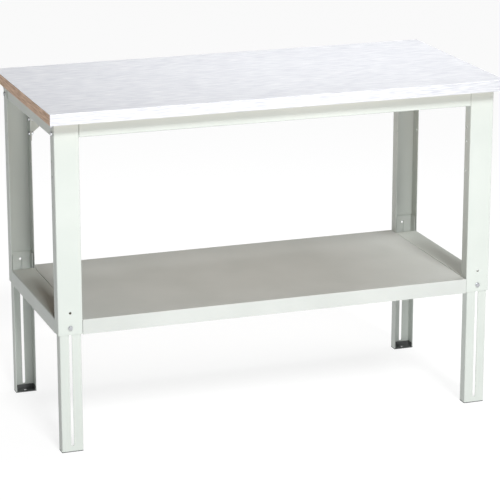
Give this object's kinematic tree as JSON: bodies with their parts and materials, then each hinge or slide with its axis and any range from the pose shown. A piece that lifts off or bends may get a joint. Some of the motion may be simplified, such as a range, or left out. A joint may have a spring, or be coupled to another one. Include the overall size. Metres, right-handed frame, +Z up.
{
  "type": "height-adjustable workbench",
  "caption": "Free-standing steel bench with a clad worktop, full-depth lower shelf and slotted telescopic legs clamped in channel posts.",
  "frame": {"origin": "the middle of the bench's footprint, on the floor, with the legs at their rest extension", "axes": "+X to the right along the bench, +Y from the front edge to the back edge, +Z up"},
  "size_m": [1.25, 0.6, 0.916],
  "materials": {
    "frame_paint": "satin powder coat, pale grey with a green cast",
    "leg_paint": "satin powder coat, pale grey with a green cast",
    "shelf_paint": "fine-textured grey powder coat",
    "cladding": "pale metal sheet with fine short streaks, read as running along its length; zinc-coated sheet is an interpretation",
    "board_core": "raw sawn edge of a laminated board",
    "foot_plastic": "moulded charcoal plastic",
    "zinc_fasteners": "bright zinc plate"
  },
  "bodies": {
    "frame": {"worktop_board": "board_core", "worktop_cladding": "cladding", "post_front_left": "frame_paint", "post_front_right": "frame_paint", "post_rear_left": "frame_paint", "post_rear_right": "frame_paint", "front_rail": "frame_paint", "rear_rail": "frame_paint", "upper_end_rail_left": "frame_paint", "upper_end_rail_right": "frame_paint", "lower_end_rail_left": "frame_paint", "lower_end_rail_right": "frame_paint", "rear_gusset_left": "frame_paint", "rear_gusset_right": "frame_paint", "shelf_tray": "shelf_paint", "shelf_stiffener": "shelf_paint", "clamp_bolts": "zinc_fasteners", "clamp_washers": "zinc_fasteners", "clamp_nuts": "zinc_fasteners", "rail_bolts": "zinc_fasteners", "rail_nuts": "zinc_fasteners", "end_rail_bolts": "zinc_fasteners", "end_rail_nuts": "zinc_fasteners", "gusset_bolts": "zinc_fasteners", "gusset_nuts": "zinc_fasteners", "shelf_bolts": "zinc_fasteners", "shelf_nuts": "zinc_fasteners", "worktop_screws": "zinc_fasteners"},
    "front_left_leg": {"leg_front_left": "leg_paint", "foot_insert_front_left": "foot_plastic"},
    "front_right_leg": {"leg_front_right": "leg_paint", "foot_insert_front_right": "foot_plastic"},
    "rear_left_leg": {"leg_rear_left": "leg_paint", "foot_insert_rear_left": "foot_plastic"},
    "rear_right_leg": {"leg_rear_right": "leg_paint", "foot_insert_rear_right": "foot_plastic"}
  },
  "joints": [
    {"name": "front_left_leg_slide", "type": "slide", "parent": "frame", "child": "front_left_leg", "axis": [0, 0, -1], "range_m": [-0.3, 0.014]},
    {"name": "front_right_leg_slide", "type": "slide", "parent": "frame", "child": "front_right_leg", "axis": [0, 0, -1], "range_m": [-0.3, 0.014]},
    {"name": "rear_left_leg_slide", "type": "slide", "parent": "frame", "child": "rear_left_leg", "axis": [0, 0, -1], "range_m": [-0.3, 0.014]},
    {"name": "rear_right_leg_slide", "type": "slide", "parent": "frame", "child": "rear_right_leg", "axis": [0, 0, -1], "range_m": [-0.3, 0.014]}
  ]
}
